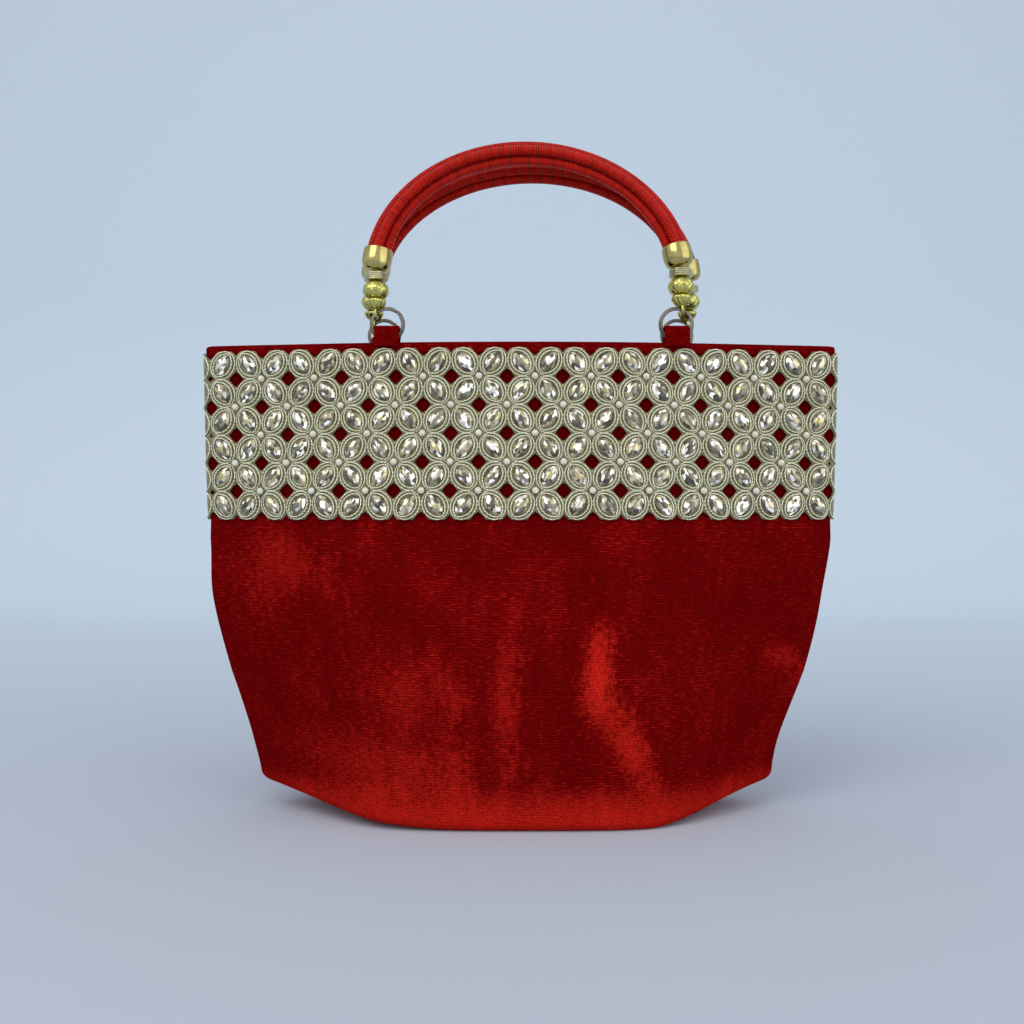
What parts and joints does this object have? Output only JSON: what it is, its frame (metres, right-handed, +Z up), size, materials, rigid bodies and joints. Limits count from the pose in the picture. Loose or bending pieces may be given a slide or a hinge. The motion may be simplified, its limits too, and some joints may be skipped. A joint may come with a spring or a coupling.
{
  "type": "evening handbag",
  "caption": "Small velvet evening handbag with a boxed base, a stone-set lace band round its open mouth and corded handles on swinging rings.",
  "frame": {"origin": "middle of the bag's base, on the surface that it stands on", "axes": "+Z up, +X towards the right side seam seen from the front, -Y out of the front"},
  "size_m": [0.2822, 0.0828, 0.2923],
  "materials": {
    "red_velvet": "deep red ribbed velvet pile",
    "wine_satin": "thin satin",
    "board": "grey board",
    "snap_steel": "plated snap",
    "lace": "pale gold thread lace with foil-backed glass stones and pearls",
    "ring_steel": "dull grey-brown split ring",
    "gold": "carved gold-coloured metal",
    "pale_gold": "ribbed pale gold-coloured metal",
    "brass": "polished brass",
    "red_thread": "satin thread wound on cord"
  },
  "bodies": {
    "bag": {"velvet_shell": "red_velvet", "satin_lining": "wine_satin", "base_board": "board", "snap_socket": "snap_steel", "snap_stud": "snap_steel", "lace_band": "lace", "loop_front_left": "red_velvet", "loop_front_right": "red_velvet", "loop_back_left": "red_velvet", "loop_back_right": "red_velvet"},
    "front_left_ring": {"ring_front_left": "ring_steel"},
    "front_right_ring": {"ring_front_right": "ring_steel"},
    "front_handle": {"eye_pin_front_left": "gold", "cap_bead_front_left": "gold", "round_bead_front_left": "gold", "hex_bead_front_left": "pale_gold", "ferrule_front_left": "brass", "eye_pin_front_right": "gold", "cap_bead_front_right": "gold", "round_bead_front_right": "gold", "hex_bead_front_right": "pale_gold", "ferrule_front_right": "brass", "cord_front_outer": "red_thread", "cord_front_inner": "red_thread", "cord_front_near": "red_thread", "cord_front_far": "red_thread"},
    "back_left_ring": {"ring_back_left": "ring_steel"},
    "back_right_ring": {"ring_back_right": "ring_steel"},
    "back_handle": {"eye_pin_back_left": "gold", "cap_bead_back_left": "gold", "round_bead_back_left": "gold", "hex_bead_back_left": "pale_gold", "ferrule_back_left": "brass", "eye_pin_back_right": "gold", "cap_bead_back_right": "gold", "round_bead_back_right": "gold", "hex_bead_back_right": "pale_gold", "ferrule_back_right": "brass", "cord_back_outer": "red_thread", "cord_back_inner": "red_thread", "cord_back_near": "red_thread", "cord_back_far": "red_thread"}
  },
  "joints": [
    {"name": "front_left_ring_swing", "type": "hinge", "parent": "bag", "child": "front_left_ring", "pos_m": [-0.05755, -0.01397, 0.20564], "axis": [1, 0, 0], "range_deg": [0, 45]},
    {"name": "front_right_ring_swing", "type": "hinge", "parent": "bag", "child": "front_right_ring", "pos_m": [0.06705, -0.01397, 0.20564], "axis": [1, 0, 0], "range_deg": [0, 45]},
    {"name": "front_handle_swing", "type": "hinge", "parent": "front_left_ring", "child": "front_handle", "pos_m": [0.00347, -0.01397, 0.21641], "axis": [0.9999, 0, 0.0126], "range_deg": [0, 100]},
    {"name": "back_left_ring_swing", "type": "hinge", "parent": "bag", "child": "back_left_ring", "pos_m": [-0.06225, 0.0135, 0.20564], "axis": [-1, 0, 0], "range_deg": [0, 45]},
    {"name": "back_right_ring_swing", "type": "hinge", "parent": "bag", "child": "back_right_ring", "pos_m": [0.07175, 0.0135, 0.20564], "axis": [-1, 0, 0], "range_deg": [0, 45]},
    {"name": "back_handle_swing", "type": "hinge", "parent": "back_left_ring", "child": "back_handle", "pos_m": [0.00475, 0.0135, 0.2159], "axis": [-1, 0, 0], "range_deg": [0, 100]}
  ],
  "couplings": [
    {"joint": "front_right_ring_swing", "follows": "front_left_ring_swing", "ratio": 1},
    {"joint": "back_right_ring_swing", "follows": "back_left_ring_swing", "ratio": 1}
  ]
}
